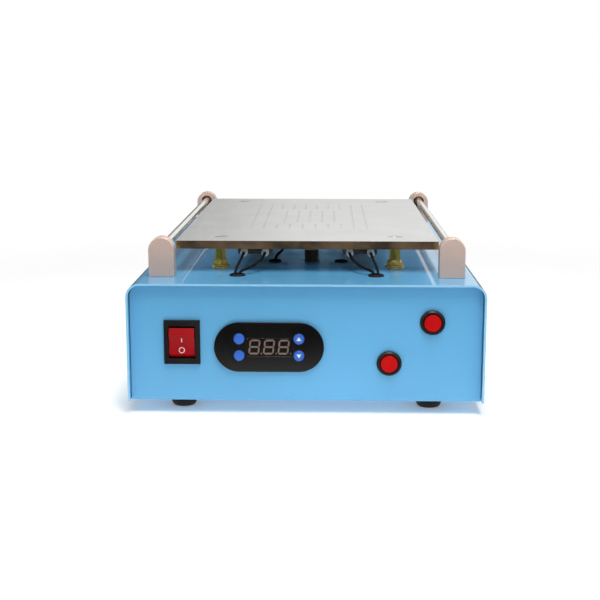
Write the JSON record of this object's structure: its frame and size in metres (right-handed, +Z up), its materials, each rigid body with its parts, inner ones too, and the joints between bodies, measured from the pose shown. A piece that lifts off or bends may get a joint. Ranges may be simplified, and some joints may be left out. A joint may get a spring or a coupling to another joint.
{
  "type": "lcd screen separator",
  "caption": "Sheet metal bench case with a raised, perforated heating plate between two guide rods on round-topped posts, and a thermostat, rocker and push-buttons on its front.",
  "frame": {"origin": "on the table, under the centre of the case", "axes": "+X to the operator's right, +Y to the back, +Z up; the control panel faces -Y"},
  "size_m": [0.2576, 0.4, 0.1243],
  "materials": {
    "case_paint": "glossy light blue powder paint on sheet steel",
    "screw_steel": "zinc plated steel screw",
    "foot_rubber": "moulded black rubber",
    "plate_aluminium": "brushed plate with a silvery, slightly warm grey face and browned edges",
    "yellow_zinc": "yellow zinc plating with pinkish highlights",
    "manifold_aluminium": "milled aluminium",
    "silicone_seal": "red silicone sheet",
    "mica_heater": "dark pressed mica in a metal sleeve",
    "clamp_steel": "bare steel strip",
    "white_ceramic": "unglazed white ceramic",
    "lead_sleeve": "black heat-proof silicone sleeve",
    "black_rubber": "black rubber",
    "probe_steel": "stainless tube",
    "brass_fitting": "turned brass",
    "hose_rubber": "dark olive rubber hose",
    "black_nylon": "black moulded nylon with a fine texture",
    "motor_steel": "zinc plated drawn steel can",
    "post_aluminium": "champagne anodised aluminium, satin",
    "bush_bronze": "oiled sintered bronze",
    "rod_steel": "polished round steel",
    "red_rocker": "glossy translucent red plastic",
    "gloss_black": "glossy black front",
    "smoked_window": "smoked clear plastic",
    "digit_grey": "unlit grey-brown segments",
    "blue_key": "blue domed key",
    "red_cap": "bright red plastic",
    "board_green": "green circuit board",
    "transformer_tape": "yellow tape over a ferrite core",
    "spacer_brass": "plated brass",
    "block_nylon": "ivory nylon",
    "pin_brass": "nickel plated brass blades"
  },
  "bodies": {
    "housing": {"chassis": "case_paint", "top_cover": "case_paint", "cover_screws": "screw_steel", "feet": "foot_rubber", "foot_screws": "screw_steel", "heating_plate": "plate_aluminium", "plate_screws": "screw_steel", "standoffs": "yellow_zinc", "flange_nuts": "yellow_zinc", "vacuum_manifold": "manifold_aluminium", "manifold_seal": "silicone_seal", "manifold_screws": "screw_steel", "heaters": "mica_heater", "heater_clamps": "clamp_steel", "heater_terminals": "white_ceramic", "heater_leads": "lead_sleeve", "lead_grommets": "black_rubber", "temperature_probe": "probe_steel", "probe_lead": "lead_sleeve", "vacuum_fittings": "brass_fitting", "vacuum_hoses": "hose_rubber", "zone_valves": "black_nylon", "pump_motor": "motor_steel", "pump_head": "black_nylon", "pump_mounts": "black_rubber", "pump_hoses": "hose_rubber", "front_left_post": "post_aluminium", "front_right_post": "post_aluminium", "rear_left_post": "post_aluminium", "rear_right_post": "post_aluminium", "post_screws": "screw_steel", "rod_bushes": "bush_bronze", "switch_housing": "black_nylon", "thermostat_fascia": "gloss_black", "thermostat_body": "black_nylon", "display_window": "smoked_window", "display_digits": "digit_grey", "button_bezels": "black_nylon", "button_nuts": "black_nylon", "power_board": "board_green", "transformer": "transformer_tape", "board_spacers": "spacer_brass", "terminal_block": "block_nylon", "power_inlet": "black_nylon", "inlet_pins": "pin_brass", "inlet_screws": "screw_steel"},
    "rocker": {"power_rocker": "red_rocker"},
    "button_1": {"button_cap_1": "red_cap"},
    "button_2": {"button_cap_2": "red_cap"},
    "key_set": {"set_key": "blue_key"},
    "key_mode": {"mode_key": "blue_key"},
    "key_up": {"up_key": "blue_key"},
    "key_down": {"down_key": "blue_key"},
    "rod_left": {"left_rod": "rod_steel"},
    "rod_right": {"right_rod": "rod_steel"}
  },
  "joints": [
    {"name": "rocker_swing", "type": "hinge", "parent": "housing", "child": "rocker", "pos_m": [-0.0881, -0.193, 0.0525], "axis": [-1, 0, 0], "range_deg": [0, 18]},
    {"name": "button_1_press", "type": "slide", "parent": "housing", "child": "button_1", "axis": [0, 1, 0], "range_m": [0, 0.0025], "stiffness_N_per_m": 400},
    {"name": "button_2_press", "type": "slide", "parent": "housing", "child": "button_2", "axis": [0, 1, 0], "range_m": [0, 0.0025], "stiffness_N_per_m": 400},
    {"name": "key_set_press", "type": "slide", "parent": "housing", "child": "key_set", "axis": [0, 1, 0], "range_m": [0, 0.0005], "stiffness_N_per_m": 900},
    {"name": "key_mode_press", "type": "slide", "parent": "housing", "child": "key_mode", "axis": [0, 1, 0], "range_m": [0, 0.0005], "stiffness_N_per_m": 900},
    {"name": "key_up_press", "type": "slide", "parent": "housing", "child": "key_up", "axis": [0, 1, 0], "range_m": [0, 0.0005], "stiffness_N_per_m": 900},
    {"name": "key_down_press", "type": "slide", "parent": "housing", "child": "key_down", "axis": [0, 1, 0], "range_m": [0, 0.0005], "stiffness_N_per_m": 900},
    {"name": "rod_left_spin", "type": "hinge", "parent": "housing", "child": "rod_left", "pos_m": [-0.1052, 0, 0.116], "axis": [0, 1, 0], "continuous": true},
    {"name": "rod_right_spin", "type": "hinge", "parent": "housing", "child": "rod_right", "pos_m": [0.1052, 0, 0.116], "axis": [0, 1, 0], "continuous": true}
  ]
}
